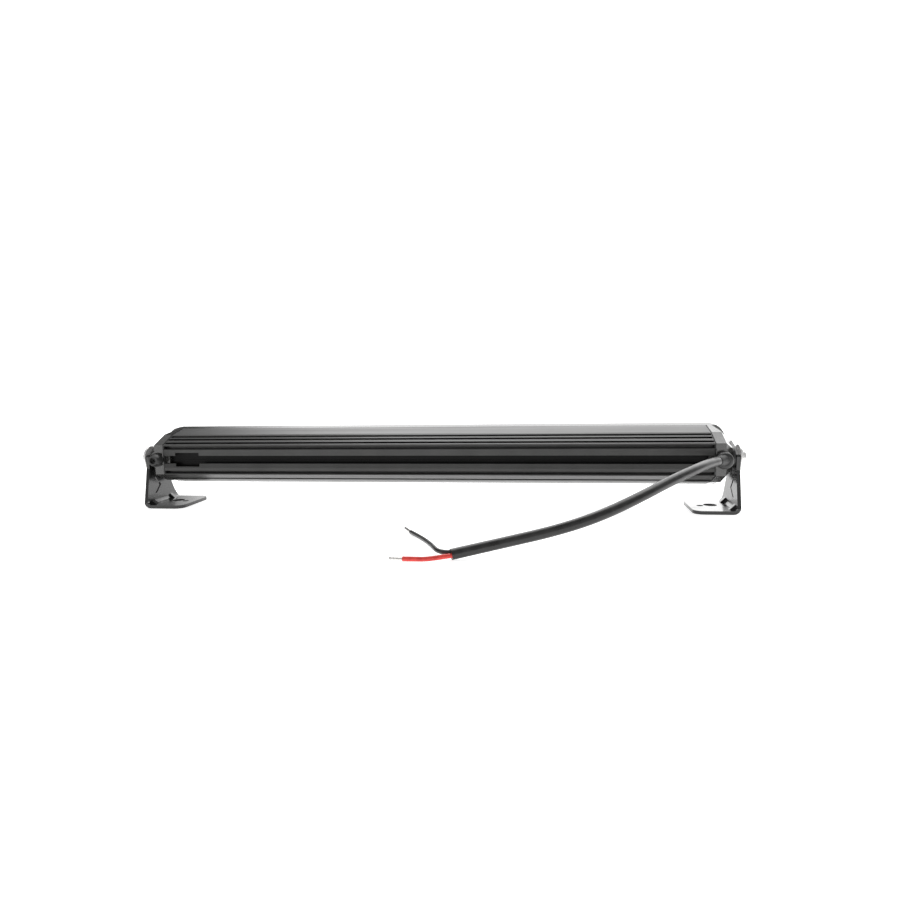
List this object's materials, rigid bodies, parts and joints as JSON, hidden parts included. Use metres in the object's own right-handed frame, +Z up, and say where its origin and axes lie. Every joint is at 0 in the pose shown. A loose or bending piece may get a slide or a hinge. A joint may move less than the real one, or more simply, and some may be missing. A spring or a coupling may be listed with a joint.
{
  "type": "led light bar",
  "caption": "Slim single-row vehicle light bar with a finned T-slot heat-sink housing, clear front lens, two tilting foot brackets and a two-core supply cable.",
  "frame": {"origin": "on the mounting surface, under the middle of the lamp and its brackets", "axes": "+X along the bar to the vent end, +Y to the finned rear, -Y to the lens, +Z up from the feet"},
  "size_m": [0.5372, 0.2111, 0.0724],
  "materials": {
    "anodised_black": "black anodised extrusion, satin",
    "cap_black": "fine-textured black powder coat on die-cast aluminium",
    "bracket_black": "gloss black powder-coated steel",
    "black_rubber": "matt black rubber",
    "stainless": "bright stainless steel",
    "black_nylon": "black moulded nylon",
    "clear_lens": "clear polycarbonate",
    "reflector": "vacuum-metallised plastic",
    "board_white": "white solder mask on an aluminium board",
    "pad_grey": "grey thermal pad",
    "led_yellow": "phosphor-coated LED",
    "board_green": "green circuit board",
    "component_black": "black electronic components",
    "red_insulation": "red PVC insulation",
    "black_insulation": "black PVC insulation",
    "cable_black": "black PVC cable jacket, semi-gloss",
    "tinned_copper": "tinned copper strands"
  },
  "bodies": {
    "lamp": {"heatsink_housing": "anodised_black", "end_cap_left": "cap_black", "end_cap_right": "cap_black", "front_bezel": "cap_black", "end_cap_gasket_left": "black_rubber", "end_cap_gasket_right": "black_rubber", "lens_gasket": "black_rubber", "vent_o_ring": "black_rubber", "gland_seal": "black_rubber", "cable_boot": "black_rubber", "end_cap_screws_left": "stainless", "end_cap_screws_right": "stainless", "bezel_screws": "stainless", "board_screws": "stainless", "pivot_bolt_left": "stainless", "pivot_bolt_right": "stainless", "pivot_washer_left": "stainless", "pivot_washer_right": "stainless", "pivot_spacer_left": "black_nylon", "pivot_spacer_right": "black_nylon", "vent_plug": "black_nylon", "cable_gland": "black_nylon", "gland_nut": "black_nylon", "front_lens": "clear_lens", "reflector_array": "reflector", "led_board": "board_white", "thermal_pad": "pad_grey", "led_emitters": "led_yellow", "driver_board": "board_green", "driver_components": "component_black", "inner_wire_red": "red_insulation", "inner_wire_black": "black_insulation", "cable_tail": "cable_black", "cable_jacket": "cable_black", "core_black": "black_insulation", "core_red": "red_insulation", "tinned_end_black": "tinned_copper", "tinned_end_red": "tinned_copper"},
    "bracket_left": {"bracket_left": "bracket_black"},
    "bracket_right": {"bracket_right": "bracket_black"}
  },
  "joints": [
    {"name": "left_bracket_tilt", "type": "hinge", "parent": "lamp", "child": "bracket_left", "pos_m": [0.261, 0.00525, 0.0452], "axis": [1, 0, 0], "range_deg": [-45, 45]},
    {"name": "right_bracket_tilt", "type": "hinge", "parent": "lamp", "child": "bracket_right", "pos_m": [-0.261, 0.00525, 0.0452], "axis": [1, 0, 0], "range_deg": [-45, 45]}
  ]
}
